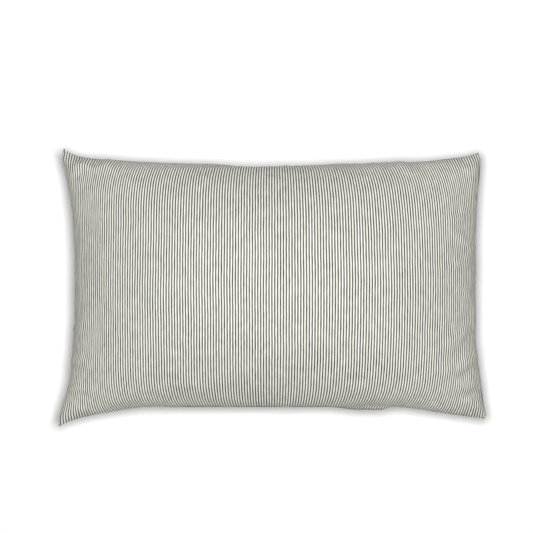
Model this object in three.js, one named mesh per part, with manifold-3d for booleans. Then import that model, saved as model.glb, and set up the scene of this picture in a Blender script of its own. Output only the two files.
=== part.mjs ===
import * as THREE from 'three';
import { mergeVertices } from 'three/addons/utils/BufferGeometryUtils.js';
import Module from 'manifold-3d';

// Throw pillow: a striped knife-edge cover with a concealed zip in its bottom seam, around a stuffed insert.
// Millimetres. +X runs along the long side, +Y towards the top edge, +Z out through the front panel.
// The pillow lies on its back panel. The origin is on the surface that it lies on, under its middle.

// Driving dimensions of the stuffed pillow
const coverWidth = 580; // corner to corner along X
const coverHeight = 372; // corner to corner along Y
const thickness = 160; // surface to crown
const seamHeight = 72; // surface to the seam all round
const shortSidePull = 15; // how far the middle of a short side draws in from its corners
const longSidePull = 23; // how far the middle of a long side draws in from its corners

// Cloth, seams and insert
const coverCloth = 1.2; // thickness of the cover's linen
const casingCloth = 0.8; // thickness of the insert's casing
const clearance = 0.3; // between pieces that touch
const seamAllowance = 8; // width of the cloth turned in past the seam
const insertInset = 12; // the insert's seam lies this far inside the cover's
const casingSlack = 1.2; // air between the layers at the crown
const fillingInset = 5; // the filling ends this far short of the casing's seam

// Zip
const zipLength = 300; // chain, stop to stop
const tapeOverrun = 15; // tape past each end of the chain
const tapeWidth = 12;
const tapeThickness = 0.6;
const coilDiameter = 2;
const chainGap = 1.4; // between the two tapes, where the slider's web runs
const slitHeight = 2.2; // between the cover's two lips along the zip
const tapeDepth = 4.5; // tape's middle behind the edge of the cover
const sliderLength = 9;
const sliderWidth = 7.6;
const eyeReach = 1.6; // eye of the slider in front of the edge of the cover
const eyeRadius = 1.2;
const pinRadius = 0.4;
const tabLength = 18;
const tabWidth = 4.6;
const tabThickness = 0.8;

// Worked out
const crownRise = thickness - seamHeight - clearance / 2;
const edgeY = -(coverHeight / 2 - longSidePull); // bottom edge along the zip
const straightShare = 0.56; // share of a long side, about its middle, that runs straight
const cornerPower = 1.3; // how quickly a long side curves out past its straight part
const cellsAcross = 20; // cells of each cloth layer along X
const cellsUp = 14; // and along Y
const sliderX = zipLength / 2 - sliderLength / 2 - 2 * clearance;

const wasm = await Module();
wasm.setup();

function toSolid(geometry) {
  const bare = geometry.clone();
  bare.deleteAttribute('normal');
  bare.deleteAttribute('uv');
  const merged = mergeVertices(bare, 1e-4);
  const vertProperties = merged.attributes.position.array;
  const triVerts = new Uint32Array(merged.index.array);
  return new wasm.Manifold(new wasm.Mesh({ numProp: 3, vertProperties, triVerts }));
}

function toGeometry(solid) {
  const mesh = solid.getMesh();
  const geometry = new THREE.BufferGeometry();
  geometry.setAttribute('position', new THREE.BufferAttribute(mesh.vertProperties, 3));
  geometry.setIndex(new THREE.BufferAttribute(mesh.triVerts, 1));
  geometry.computeVertexNormals();
  return geometry;
}

function join(...geometries) {
  return toGeometry(geometries.map(toSolid).reduce((whole, piece) => whole.add(piece)));
}

function cut(geometry, ...tools) {
  return toGeometry(tools.map(toSolid).reduce((rest, tool) => rest.subtract(tool), toSolid(geometry)));
}

function boxAt(sizeX, sizeY, sizeZ, x, y, z) {
  return new THREE.BoxGeometry(sizeX, sizeY, sizeZ).translate(x, y, z);
}

// Finishes
const cloth = (color) => ({ color, roughness: 0.92, metalness: 0 });
const linenFinish = cloth(0xbfc0b9);
const casingFinish = cloth(0xf2f0ea);
const fillingFinish = cloth(0xfafaf7);
const threadFinish = { color: 0xd9d8cc, roughness: 0.8, metalness: 0 };
const tapeFinish = { color: 0xc9c8bd, roughness: 0.85, metalness: 0 };
const coilFinish = { color: 0xd2d1c6, roughness: 0.45, metalness: 0 };
const metalFinish = { color: 0xb9bab6, roughness: 0.35, metalness: 0.9 };
const labelFinish = { color: 0xf4f3ef, roughness: 0.6, metalness: 0 };

function piece(name, geometry, finish) {
  const mesh = new THREE.Mesh(geometry, new THREE.MeshStandardMaterial(finish));
  mesh.name = name;
  return mesh;
}

// A point of the flat cloth, u and v from -1 to 1, as it lies seen from above once the pillow is stuffed.
function planPoint(u, v, inset) {
  const pastStraight = Math.max(0, (Math.abs(u) - straightShare) / (1 - straightShare));
  const halfX = coverWidth / 2 - inset - shortSidePull * (1 - v ** 4);
  const halfY = coverHeight / 2 - inset - longSidePull * (1 - pastStraight ** cornerPower);
  return new THREE.Vector2(u * halfX, v * halfY);
}

// Share of the full crown at a point: round sections both ways, flat where two edges meet in a corner.
function crownShare(u, v) {
  return Math.sqrt(Math.max(0, (1 - u * u) * (1 - v * v)));
}

function frontHeight(u, v, lift, halfGap) {
  return seamHeight + halfGap + (crownRise - lift) * crownShare(u, v);
}

// The back would be as deep as the front is high, but the surface below stops it and makes it flat.
function backHeight(u, v, lift, halfGap) {
  const depth = Math.min(1, (crownRise / seamHeight) * crownShare(u, v));
  return seamHeight - halfGap - (seamHeight - halfGap - lift) * depth;
}

// A flat two-layer box whose cells split the same way above and below, so that layers never cross.
function twoLayerBox() {
  const geometry = new THREE.BoxGeometry(2, 2, 2, cellsAcross, cellsUp, 1);
  const index = geometry.index;
  const lowerFace = geometry.groups[5];
  const perCell = 6;
  for (let at = lowerFace.start; at < lowerFace.start + lowerFace.count; at += perCell) {
    const [a, b, c, d] = [index.getX(at), index.getX(at + 1), index.getX(at + 4), index.getX(at + 2)];
    [a, b, c, a, c, d].forEach((vertex, place) => index.setX(at + place, vertex));
  }
  return geometry;
}

// A box whose cells are moved onto two layers, so it becomes a thin dome that is open at the seam.
// Each layer has an inset from the cover's edge and a lift from its crown or from the surface below.
function domeGeometry(facesFront, outer, inner, halfGap) {
  const geometry = twoLayerBox();
  const position = geometry.attributes.position;
  for (let i = 0; i < position.count; i += 1) {
    const u = Math.sin((position.getX(i) * Math.PI) / 2);
    const v = Math.sin((position.getY(i) * Math.PI) / 2);
    const layer = position.getZ(i) > 0 === facesFront ? outer : inner;
    const plan = planPoint(u, v, layer.inset);
    const heightAt = facesFront ? frontHeight : backHeight;
    position.setXYZ(i, plan.x, plan.y, heightAt(u, v, layer.lift, halfGap));
  }
  return geometry;
}

// The pillow's outline at an inset, anticlockwise from its bottom left corner.
function outline(inset) {
  const steps = 14;
  const points = [];
  const corners = [[-1, -1], [1, -1], [1, 1], [-1, 1]];
  corners.forEach(([u0, v0], side) => {
    const [u1, v1] = corners[(side + 1) % corners.length];
    for (let step = 0; step < steps; step += 1) {
      const share = (1 - Math.cos((step / steps) * Math.PI)) / 2;
      points.push(planPoint(u0 + (u1 - u0) * share, v0 + (v1 - v0) * share, inset));
    }
  });
  return points;
}

// A flat band that follows the outline between two insets.
function bandGeometry(outerInset, innerInset, bottom, depth) {
  const shape = new THREE.Shape(outline(outerInset));
  shape.holes.push(new THREE.Path(outline(innerInset)));
  return new THREE.ExtrudeGeometry(shape, { depth, bevelEnabled: false }).translate(0, 0, bottom);
}

// Cover: two panels of linen, each with its seam allowance turned in, and a slit between them for the zip.
function coverPanel(facesFront) {
  const outer = { inset: 0, lift: 0 };
  const inner = { inset: coverCloth, lift: coverCloth };
  const dome = domeGeometry(facesFront, outer, inner, clearance / 2);
  const seamSide = facesFront ? clearance / 2 : -clearance / 2 - coverCloth;
  const allowance = bandGeometry(coverCloth / 2, seamAllowance, seamHeight + seamSide, coverCloth);
  const zipBayLength = zipLength + 2 * tapeOverrun + 6;
  const zipBayDepth = 20;
  const bayY = edgeY + coverCloth + clearance + zipBayDepth / 2;
  const zipBay = boxAt(zipBayLength, zipBayDepth, 30, 0, bayY, seamHeight);
  const slit = boxAt(zipLength + 4, 20, slitHeight, 0, edgeY, seamHeight);
  return cut(join(dome, cut(allowance, zipBay)), slit);
}

// Insert: a plain casing in two halves, and the filling that holds them apart.
const casingOuter = { inset: insertInset, lift: coverCloth + casingSlack };
const casingInner = { inset: insertInset + casingCloth, lift: coverCloth + casingSlack + casingCloth };
const fillingLayer = {
  inset: insertInset + casingCloth + fillingInset,
  lift: coverCloth + casingCloth + 2 * casingSlack,
};

function fillingGeometry() {
  const geometry = twoLayerBox();
  const position = geometry.attributes.position;
  const halfEdge = 0.5; // the filling is this thick either side of the seam at its edge
  for (let i = 0; i < position.count; i += 1) {
    const u = Math.sin((position.getX(i) * Math.PI) / 2);
    const v = Math.sin((position.getY(i) * Math.PI) / 2);
    const plan = planPoint(u, v, fillingLayer.inset);
    const heightAt = position.getZ(i) > 0 ? frontHeight : backHeight;
    position.setXYZ(i, plan.x, plan.y, heightAt(u, v, fillingLayer.lift + halfEdge, halfEdge));
  }
  return geometry;
}

// Threads: a run of sewing along one side, from one share of the side to another.
function polygon(radius, sides) {
  const points = [];
  for (let i = 0; i < sides; i += 1) {
    const angle = (i / sides) * 2 * Math.PI;
    points.push(new THREE.Vector2(radius * Math.cos(angle), radius * Math.sin(angle)));
  }
  return new THREE.Shape(points);
}

const sideEnds = {
  top: [[-1, 1], [1, 1]],
  bottom: [[-1, -1], [1, -1]],
  left: [[-1, -1], [-1, 1]],
  right: [[1, -1], [1, 1]],
};

function threadGeometry(side, from, to, inset, height, radius) {
  const [[u0, v0], [u1, v1]] = sideEnds[side];
  const stretch = Math.max(6, Math.round((to - from) * 24));
  const points = [];
  for (let i = 0; i <= stretch; i += 1) {
    const share = from + ((to - from) * i) / stretch;
    const plan = planPoint(u0 + (u1 - u0) * share, v0 + (v1 - v0) * share, inset);
    points.push(new THREE.Vector3(plan.x, plan.y, height));
  }
  const extrudePath = new THREE.CatmullRomCurve3(points);
  return new THREE.ExtrudeGeometry(polygon(radius, 6), { steps: stretch, extrudePath });
}

// Zip, in a frame whose origin is on the edge of the cover, in the seam, at the middle of the chain.
// The tapes stand upright behind the two lips of the cover, and the coils are on their inner faces.
function coilGeometry() {
  const radius = coilDiameter / 2;
  return new THREE.CylinderGeometry(radius, radius, zipLength, 8).rotateZ(Math.PI / 2);
}

function sliderGeometry() {
  const coilMiddle = tapeDepth + tapeThickness / 2 + clearance + coilDiameter / 2;
  const plateFace = coilMiddle + coilDiameter / 2 + clearance;
  const plateThickness = 0.9;
  const lipThickness = 0.7;
  const webThickness = chainGap - 2 * clearance;
  const half = sliderLength / 2;
  const wide = sliderWidth / 2;
  const nose = new THREE.Shape([
    new THREE.Vector2(-half, -wide),
    new THREE.Vector2(half - 3, -wide),
    new THREE.Vector2(half, -wide + 1.4),
    new THREE.Vector2(half, wide - 1.4),
    new THREE.Vector2(half - 3, wide),
    new THREE.Vector2(-half, wide),
  ]);
  const plate = new THREE.ExtrudeGeometry(nose, { depth: plateThickness, bevelEnabled: false });
  plate.rotateX(Math.PI / 2).translate(0, plateFace + plateThickness, 0);
  const lipDepth = coilDiameter;
  const lipY = plateFace + 0.2 - lipDepth / 2;
  const lipX = -1.5;
  const lipLength = sliderLength - 3;
  const upperLip = boxAt(lipLength, lipDepth, lipThickness, lipX, lipY, wide - lipThickness / 2);
  const lowerLip = boxAt(lipLength, lipDepth, lipThickness, lipX, lipY, -wide + lipThickness / 2);

  const web = new THREE.Shape();
  web.moveTo(2.2, plateFace + 0.2);
  web.lineTo(-2.2, plateFace + 0.2);
  web.lineTo(-2.2, 0);
  web.lineTo(-eyeRadius, -eyeReach);
  web.absarc(0, -eyeReach, eyeRadius, Math.PI, 2 * Math.PI, false);
  web.lineTo(2.2, 0);
  const eyeHole = new THREE.Path();
  eyeHole.absarc(0, -eyeReach, pinRadius + clearance + 0.05, 0, 2 * Math.PI, true);
  web.holes.push(eyeHole);
  const webSolid = new THREE.ExtrudeGeometry(web, {
    depth: webThickness,
    bevelEnabled: false,
    curveSegments: 10,
  });
  webSolid.translate(0, 0, -webThickness / 2);
  return join(plate, upperLip, lowerLip, webSolid);
}

// Pull tab, in a frame whose origin is in the slider's eye. It lies back along the closed chain.
function pullTabGeometry() {
  const earThickness = 0.6;
  const earInner = chainGap / 2;
  const earEnd = 3.2;
  const ear = new THREE.Shape();
  ear.moveTo(-earEnd, -tabThickness / 2);
  ear.lineTo(0, -eyeRadius);
  ear.absarc(0, 0, eyeRadius, -Math.PI / 2, Math.PI / 2, false);
  ear.lineTo(-earEnd, tabThickness / 2);
  const earOptions = { depth: earThickness, bevelEnabled: false, curveSegments: 6 };
  const upperEar = new THREE.ExtrudeGeometry(ear, earOptions).translate(0, 0, earInner);
  const lowerEar = new THREE.ExtrudeGeometry(ear, earOptions).translate(0, 0, -earInner - earThickness);
  const pinLength = 2 * (earInner + earThickness / 2);
  const pin = new THREE.CylinderGeometry(pinRadius, pinRadius, pinLength, 10).rotateX(Math.PI / 2);

  const neck = earInner + earThickness;
  const root = -eyeRadius - 2 * clearance;
  const grip = new THREE.Shape();
  grip.moveTo(root, -neck);
  grip.lineTo(root, neck);
  grip.lineTo(root - 3, neck);
  grip.quadraticCurveTo(root - 6, tabWidth / 2, -tabLength + tabWidth / 2, tabWidth / 2);
  grip.absarc(-tabLength + tabWidth / 2, 0, tabWidth / 2, Math.PI / 2, (3 * Math.PI) / 2, false);
  grip.quadraticCurveTo(root - 6, -tabWidth / 2, root - 3, -neck);
  const window = new THREE.Path();
  window.absarc(-tabLength + tabWidth / 2, 0, 1.1, 0, 2 * Math.PI, true);
  grip.holes.push(window);
  const gripSolid = new THREE.ExtrudeGeometry(grip, {
    depth: tabThickness,
    bevelEnabled: false,
    curveSegments: 8,
  });
  gripSolid.rotateX(Math.PI / 2).translate(0, tabThickness / 2, 0);
  return join(upperEar, lowerEar, pin, gripSolid);
}

function zipGroup() {
  const group = new THREE.Group();
  group.position.set(0, edgeY, seamHeight);
  const coilY = tapeDepth + tapeThickness / 2 + clearance + coilDiameter / 2;
  const coilZ = chainGap / 2 + coilDiameter / 2;
  const tapeZ = chainGap / 2 + tapeWidth / 2;
  const stitchRadius = 0.35;
  const stitchY = (coverCloth + tapeDepth - tapeThickness / 2) / 2;
  const tapeLength = zipLength + 2 * tapeOverrun;
  const stopLength = 2.2;
  const stopX = zipLength / 2 + clearance + stopLength / 2;
  for (const [side, up] of [['front', 1], ['back', -1]]) {
    const tape = piece(`zip_tape_${side}`, new THREE.BoxGeometry(tapeLength, tapeThickness, tapeWidth), tapeFinish);
    tape.position.set(0, tapeDepth, up * tapeZ);
    const coil = piece(`zip_coil_${side}`, coilGeometry(), coilFinish);
    coil.position.set(0, coilY, up * coilZ);
    const stitch = new THREE.CylinderGeometry(stitchRadius, stitchRadius, tapeLength - 6, 6);
    const sewing = piece(`zip_thread_${side}`, stitch.rotateZ(Math.PI / 2), threadFinish);
    sewing.position.set(0, stitchY, up * (tapeZ - 3));
    const stop = new THREE.BoxGeometry(stopLength, coilDiameter, coilDiameter);
    const topStop = piece(`zip_top_stop_${side}`, stop, metalFinish);
    topStop.position.set(stopX, coilY, up * coilZ);
    group.add(tape, coil, sewing, topStop);
  }
  const bothCoils = 2 * coilDiameter + chainGap;
  const bottomStopShape = new THREE.BoxGeometry(stopLength, coilDiameter, bothCoils);
  const bottomStop = piece('zip_bottom_stop', bottomStopShape, metalFinish);
  bottomStop.position.set(-stopX, coilY, 0);

  const slider = new THREE.Group();
  slider.position.x = sliderX;
  const pullTab = piece('zip_pull_tab', pullTabGeometry(), metalFinish);
  pullTab.position.y = -eyeReach;
  slider.add(piece('zip_slider', sliderGeometry(), metalFinish), pullTab);
  group.add(bottomStop, slider);
  return group;
}

// Blank care label, folded double and hanging in the left seam between cover and insert.
function careLabel() {
  const label = piece('care_label', new THREE.BoxGeometry(0.8, 30, 30), labelFinish);
  label.position.set(-260, 30, seamHeight + 17);
  label.rotation.y = THREE.MathUtils.degToRad(30);
  return label;
}

function pillow() {
  const group = new THREE.Group();
  group.add(piece('cover_front_panel', coverPanel(true), linenFinish));
  group.add(piece('cover_back_panel', coverPanel(false), linenFinish));
  const casingFront = domeGeometry(true, casingOuter, casingInner, clearance / 2);
  const casingBack = domeGeometry(false, casingOuter, casingInner, clearance / 2);
  group.add(piece('insert_casing_front', casingFront, casingFinish));
  group.add(piece('insert_casing_back', casingBack, casingFinish));
  group.add(piece('insert_filling', fillingGeometry(), fillingFinish));
  const casingSewing = bandGeometry(casingInner.inset + 3, casingInner.inset + 3.6, seamHeight - 0.3, 0.6);
  group.add(piece('insert_seam_thread', casingSewing, threadFinish));

  // The seam's own stitches lie on the turned-in cloth, and the overlocking runs along its raw edge.
  const stitchRadius = 0.4;
  const stitchInset = 3;
  const stitchZ = seamHeight + clearance / 2 + coverCloth + clearance + stitchRadius;
  const overlockInset = seamAllowance + clearance + 2 * stitchRadius;
  const sewnRuns = [
    ['top', 'top', 0.05, 0.95],
    ['left', 'left', 0.06, 0.94],
    ['right', 'right', 0.06, 0.94],
    ['bottom_left', 'bottom', 0.05, 0.19],
    ['bottom_right', 'bottom', 0.81, 0.95],
  ];
  for (const [name, side, from, to] of sewnRuns) {
    const seam = threadGeometry(side, from, to, stitchInset, stitchZ, stitchRadius);
    const overlock = threadGeometry(side, from, to, overlockInset, seamHeight, stitchRadius);
    group.add(piece(`seam_thread_${name}`, seam, threadFinish));
    group.add(piece(`overlock_thread_${name}`, overlock, threadFinish));
  }

  group.add(zipGroup());
  group.add(careLabel());
  return group;
}

export default pillow();
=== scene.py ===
import math

import bpy
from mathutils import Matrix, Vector, noise


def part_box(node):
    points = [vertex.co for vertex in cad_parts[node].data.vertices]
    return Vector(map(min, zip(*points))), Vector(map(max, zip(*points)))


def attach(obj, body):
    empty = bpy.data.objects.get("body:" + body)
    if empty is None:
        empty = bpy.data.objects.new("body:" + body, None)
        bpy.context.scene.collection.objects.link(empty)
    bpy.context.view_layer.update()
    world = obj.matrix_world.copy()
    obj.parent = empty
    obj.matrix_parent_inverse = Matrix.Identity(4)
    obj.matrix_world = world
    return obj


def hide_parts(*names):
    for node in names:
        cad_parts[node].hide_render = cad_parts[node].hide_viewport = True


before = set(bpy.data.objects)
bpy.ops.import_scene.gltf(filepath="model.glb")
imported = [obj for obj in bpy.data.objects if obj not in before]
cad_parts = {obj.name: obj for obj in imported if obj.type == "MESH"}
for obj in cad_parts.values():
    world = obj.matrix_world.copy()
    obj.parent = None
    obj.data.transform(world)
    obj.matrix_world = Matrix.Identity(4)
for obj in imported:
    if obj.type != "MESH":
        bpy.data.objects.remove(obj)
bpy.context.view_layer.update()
print("frame loaded")

bodyName = "pillow"
seamHeight = (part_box("cover_front_panel")[0].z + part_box("cover_back_panel")[1].z) / 2
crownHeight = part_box("cover_front_panel")[1].z
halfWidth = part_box("cover_front_panel")[1].x
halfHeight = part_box("cover_front_panel")[1].y
mm = 0.001
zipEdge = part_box("zip_tape_front")[0].y - 4.2 * mm  # the cover's bottom edge along the zip


def only(*pieces):
    if bpy.context.object and bpy.context.object.mode != "OBJECT":
        bpy.ops.object.mode_set(mode="OBJECT")
    bpy.ops.object.select_all(action="DESELECT")
    for piece in pieces:
        piece.select_set(True)
    bpy.context.view_layer.objects.active = pieces[0]
    return pieces[0]


def applyAll(piece):
    only(piece)
    for modifier in list(piece.modifiers):
        bpy.ops.object.modifier_apply(modifier=modifier.name)
    return piece


def smoothShaded(piece):
    only(piece)
    bpy.ops.object.shade_smooth()
    return piece


def renamed(piece, name):
    piece.name = name
    piece.data.name = name
    return piece


def copyOf(piece, name):
    twin = piece.copy()
    twin.data = piece.data.copy()
    bpy.context.scene.collection.objects.link(twin)
    return renamed(twin, name)


# hands a finished piece to the frame: its material, its body and the CAD nodes that it stands for
def handIn(piece, finish, slot, *nodes, body=bodyName):
    piece.data.materials.clear()
    piece.data.materials.append(finish)
    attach(piece, body)
    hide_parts(*nodes)
    print(piece.name, len(piece.data.polygons), "faces")
    return piece


def grade(value, start, end):
    share = min(1, max(0, (value - start) / (end - start)))
    return share * share * (3 - 2 * share)


def wobble(x, y, layer):
    return noise.noise(Vector((x, y, layer)))


# a socket that takes part in Python arithmetic, each operation adding its Math node
class Wire:
    def __init__(self, tree, socket):
        self.tree = tree
        self.socket = socket

    def maths(self, operation, *values):
        node = self.tree.nodes.new("ShaderNodeMath")
        node.operation = operation
        for slot, value in zip(node.inputs, values):
            plug(self.tree, slot, value)
        return Wire(self.tree, node.outputs[0])

    def __add__(self, other):
        return self.maths("ADD", self, other)

    __radd__ = __add__

    def __sub__(self, other):
        return self.maths("SUBTRACT", self, other)

    def __mul__(self, other):
        return self.maths("MULTIPLY", self, other)

    def wave(self):  # one full turn for each whole number
        return self.maths("SINE", self * (2 * math.pi))

    def held(self):
        return self.maths("MINIMUM", self.maths("MAXIMUM", self, 0), 1)


def plug(tree, slot, value):
    if isinstance(value, Wire):
        tree.links.new(value.socket, slot)
    elif value is not None:
        slot.default_value = value


# one material and the nodes in it
class Finish:
    def __init__(self, name):
        self.material = bpy.data.materials.new(name)
        self.material.use_nodes = True
        self.tree = self.material.node_tree
        self.tree.nodes.clear()

    def node(self, kind, settings, inputs, output=0):
        made = self.tree.nodes.new(kind)
        for key, value in settings.items():
            setattr(made, key, value)
        for key, value in inputs.items():
            plug(self.tree, made.inputs[key], value)
        return Wire(self.tree, made.outputs[output]) if made.outputs else None

    def place(self, uvMap=None):
        if uvMap:
            return self.node("ShaderNodeUVMap", {"uv_map": uvMap}, {})
        return self.node("ShaderNodeTexCoord", {}, {}, "Object")

    def axes(self, vector):
        return [self.node("ShaderNodeSeparateXYZ", {}, {0: vector}, axis) for axis in range(3)]

    def cloud(self, vector, scale, detail=2, stretch=(1, 1, 1)):
        place = self.node("ShaderNodeMapping", {}, {"Vector": vector, "Scale": stretch})
        inputs = {"Vector": place, "Scale": scale, "Detail": detail}
        return self.node("ShaderNodeTexNoise", {"noise_dimensions": "3D"}, inputs)

    def mixed(self, factor, first, second):
        inputs = {0: factor, 6: first, 7: second}
        return self.node("ShaderNodeMix", {"data_type": "RGBA"}, inputs, 2)

    def bump(self, height, strength, distance, under=None):
        inputs = {"Height": height, "Strength": strength, "Distance": distance, "Normal": under}
        return self.node("ShaderNodeBump", {}, inputs)

    def shade(self, **inputs):
        named = {key.replace("_", " "): value for key, value in inputs.items()}
        surface = self.node("ShaderNodeBsdfPrincipled", {}, named)
        self.node("ShaderNodeOutputMaterial", {}, {"Surface": surface})
        return self.material


coverCut = {
    "width": 0.630,  # flat, seam to seam
    "height": 0.414,
    "cellsAcross": 108,
    "cellsUp": 72,
    "sideReach": {  # how far out each half of a short side comes, and how far its middle draws in
        (-1, 1): (0.2885, 0.0195),
        (-1, -1): (0.2915, 0.0225),
        (1, 1): (0.2860, 0.0095),
        (1, -1): (0.2925, 0.0160),
    },
    "topEdge": (0.1637, 0.0115, 0.0110),  # its middle, its slope and its rise at the corners
    "bottomEdge": (0.1600, 0.0200, 0.0060),
    "tipShift": {
        (-1, 1): (0.004, 0.002),
        (1, 1): (-0.005, -0.003),
        (-1, -1): (0.0, -0.005),
        (1, -1): (-0.003, 0.006),
    },
    "seamGather": -0.03,
    "crownGather": 0.065,
    "edgeWave": 0.0016,
    "unevenness": 0.0035,
    "lowest": 1.5 * mm,
    "onSeam": 0.9999,  # a share of the flat cloth past this lies on the seam
}


def flatPlace(s, t):
    return Vector((s * coverCut["width"] / 2, t * coverCut["height"] / 2, seamHeight))


# the seams draw the cloth in towards their middle, and the crown spreads it
def gathered(share, towardsSeam):
    cut = coverCut
    gather = cut["crownGather"] + (cut["seamGather"] - cut["crownGather"]) * towardsSeam**8
    return share * (1 + gather * (1 - share**4))


# how far out a share of the cloth lies, once it goes over an arch of this rise for a half span of 1
def archPlace(share, rise):
    steps = 36
    lengths = [0]
    for step in range(steps):
        angle = (step + 0.5) / steps * math.pi / 2
        lengths.append(lengths[-1] + math.hypot(math.cos(angle), rise * math.sin(angle)))
    wanted = abs(share) * lengths[-1]
    step = max(1, next((at for at, length in enumerate(lengths) if length >= wanted), steps))
    part = (wanted - lengths[step - 1]) / (lengths[step] - lengths[step - 1])
    return math.copysign(math.sin((step - 1 + part) / steps * math.pi / 2), share)


# the outline, for a place across and up the pillow
def outlineX(u, v):
    reach, pull = coverCut["sideReach"][1 if u > 0 else -1, 1 if v > 0 else -1]
    return u * (reach - pull * (1 - min(1, abs(v) / 0.95) ** 2.9))


def outlineY(u, v):
    middle, slope, rise = coverCut["topEdge" if v > 0 else "bottomEdge"]
    return v * (middle + slope * abs(u) ** (1.2 if v > 0 else 2.2) + rise * abs(u) ** 12)


# where a point of the flat cloth lies at first, once the pillow is stuffed
def stuffedPlace(s, t, side):
    rise = crownHeight - seamHeight
    flatU = archPlace(s, rise / halfWidth)
    flatV = archPlace(t, rise / halfHeight)
    u = archPlace(gathered(s, abs(flatV)), rise / halfWidth * math.sqrt(max(0, 1 - flatV**2)))
    v = archPlace(gathered(t, abs(flatU)), rise / halfHeight * math.sqrt(max(0, 1 - flatU**2)))
    x, y = outlineX(u, v), outlineY(u, v)
    for (cornerX, cornerY), (shiftX, shiftY) in coverCut["tipShift"].items():
        share = max(0, u * cornerX) ** 14 * max(0, v * cornerY) ** 14
        x += shiftX * share
        y += shiftY * share
    crown = math.sqrt(max(0, (1 - u * u) * (1 - v * v)))
    rim = (1 - crown) ** 6
    x += rim * coverCut["edgeWave"] * wobble(2, y * 20, 3)
    y += rim * coverCut["edgeWave"] * wobble(x * 17, v * 2, 7) * (1.4 if v > 0 else 0.8)
    hill = coverCut["unevenness"] * crown * wobble(x * 13, y * 13, 1)
    if side > 0:
        return Vector((x, y, seamHeight + rise * crown + hill))
    return Vector((x, y, max(coverCut["lowest"], seamHeight - rise * crown)))


# a closed cage of two grids that share the seam; each point keeps its place on the flat cloth
def coverCage():
    bpy.ops.object.select_all(action="DESELECT")
    panels = []
    for side in (1, -1):
        bpy.ops.mesh.primitive_grid_add(
            x_subdivisions=coverCut["cellsAcross"], y_subdivisions=coverCut["cellsUp"], size=2
        )
        panel = bpy.context.object
        if side < 0:
            bpy.ops.object.mode_set(mode="EDIT")
            bpy.ops.mesh.flip_normals()
            bpy.ops.object.mode_set(mode="OBJECT")
        places = panel.data.attributes.new("cut", "FLOAT_VECTOR", "POINT")
        for vertex, place in zip(panel.data.vertices, places.data):
            s, t = vertex.co.x, vertex.co.y
            onSeam = max(abs(s), abs(t)) > coverCut["onSeam"]
            place.vector = (s, t, 0 if onSeam else side)
            vertex.co = stuffedPlace(s, t, side)
            if onSeam:
                vertex.co.z = seamHeight
        panels.append(panel)
    only(*panels)
    bpy.ops.object.join()
    cage = bpy.context.object
    bpy.ops.object.mode_set(mode="EDIT")
    bpy.ops.mesh.select_all(action="SELECT")
    bpy.ops.mesh.remove_doubles(threshold=0.02 * mm)
    bpy.ops.object.mode_set(mode="OBJECT")
    return renamed(cage, "cover_cage")


stuffing = {
    "volume": 0.0204,  # cubic metres inside the cover
    "firmness": 8.0,
    "frames": 26,
    "gravity": 0.002,
    "clothMass": 0.02,
    "stretch": 15,
    "shear": 5,
    "bending": 0.05,
    "stretchDamping": 15,
    "shearDamping": 10,
    "bendingDamping": 1,
    "airDamping": 2,
    "quality": 6,
    "seamHold": 0.9,
    "zipHold": 0.56,  # share of the bottom edge that is held fast
    "cornerHold": 0.97,
}


# blows the cage up to its volume, with the flat cloth as its lengths at rest
def stuffed(cage):
    fill = stuffing
    places = [Vector(place.vector) for place in cage.data.attributes["cut"].data]
    cage.shape_key_add(name="stuffed")
    flat = cage.shape_key_add(name="flat")
    for point, place in zip(flat.data, places):
        point.co = flatPlace(place.x, place.y) + Vector((0, 0, mm * place.z))
    flat.value = 0
    held = cage.vertex_groups.new(name="held")
    for index, place in enumerate(places):
        if abs(place.z) < 0.5:
            onZip = place.y < -0.99 and abs(place.x) < fill["zipHold"]
            atCorner = min(abs(place.x), abs(place.y)) > fill["cornerHold"]
            held.add([index], 1.0 if onZip or atCorner else fill["seamHold"], "REPLACE")
    bpy.ops.mesh.primitive_plane_add(size=2)
    table = bpy.context.object
    table.modifiers.new("Collision", "COLLISION")
    table.collision.thickness_outer = mm
    cloth = cage.modifiers.new("Cloth", "CLOTH")
    settings = cloth.settings
    settings.quality = fill["quality"]
    settings.mass = fill["clothMass"]
    settings.air_damping = fill["airDamping"]
    settings.tension_stiffness = settings.compression_stiffness = fill["stretch"]
    settings.shear_stiffness = fill["shear"]
    settings.bending_stiffness = fill["bending"]
    settings.tension_damping = settings.compression_damping = fill["stretchDamping"]
    settings.shear_damping = fill["shearDamping"]
    settings.bending_damping = fill["bendingDamping"]
    settings.use_pressure = settings.use_pressure_volume = True
    settings.uniform_pressure_force = 0
    settings.target_volume = fill["volume"]
    settings.pressure_factor = fill["firmness"]
    settings.effector_weights.gravity = fill["gravity"]
    settings.rest_shape_key = flat
    settings.vertex_group_mass = "held"
    cloth.collision_settings.distance_min = mm
    frames = fill["frames"]
    cloth.point_cache.frame_start = 1
    cloth.point_cache.frame_end = frames + 1
    scene = bpy.context.scene
    scene.frame_start = 1
    scene.frame_end = frames + 1
    for moment in range(1, frames + 1):
        scene.frame_set(moment)
    shape = cage.evaluated_get(bpy.context.evaluated_depsgraph_get()).to_mesh()
    across, up = coverCut["cellsAcross"], coverCut["cellsUp"]
    skin = {}
    for vertex, (s, t, layer) in zip(shape.vertices, places):
        column, row = round((s + 1) / 2 * across), round((t + 1) / 2 * up)
        for side in (1, -1) if abs(layer) < 0.5 else (round(layer),):
            skin[column, row, side] = vertex.co.copy()
    bpy.data.objects.remove(cage)
    bpy.data.objects.remove(table)
    scene.frame_set(1)
    return skin


skin = stuffed(coverCage())
print("cover stuffed", min(co.z for co in skin.values()), max(co.z for co in skin.values()))


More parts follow.
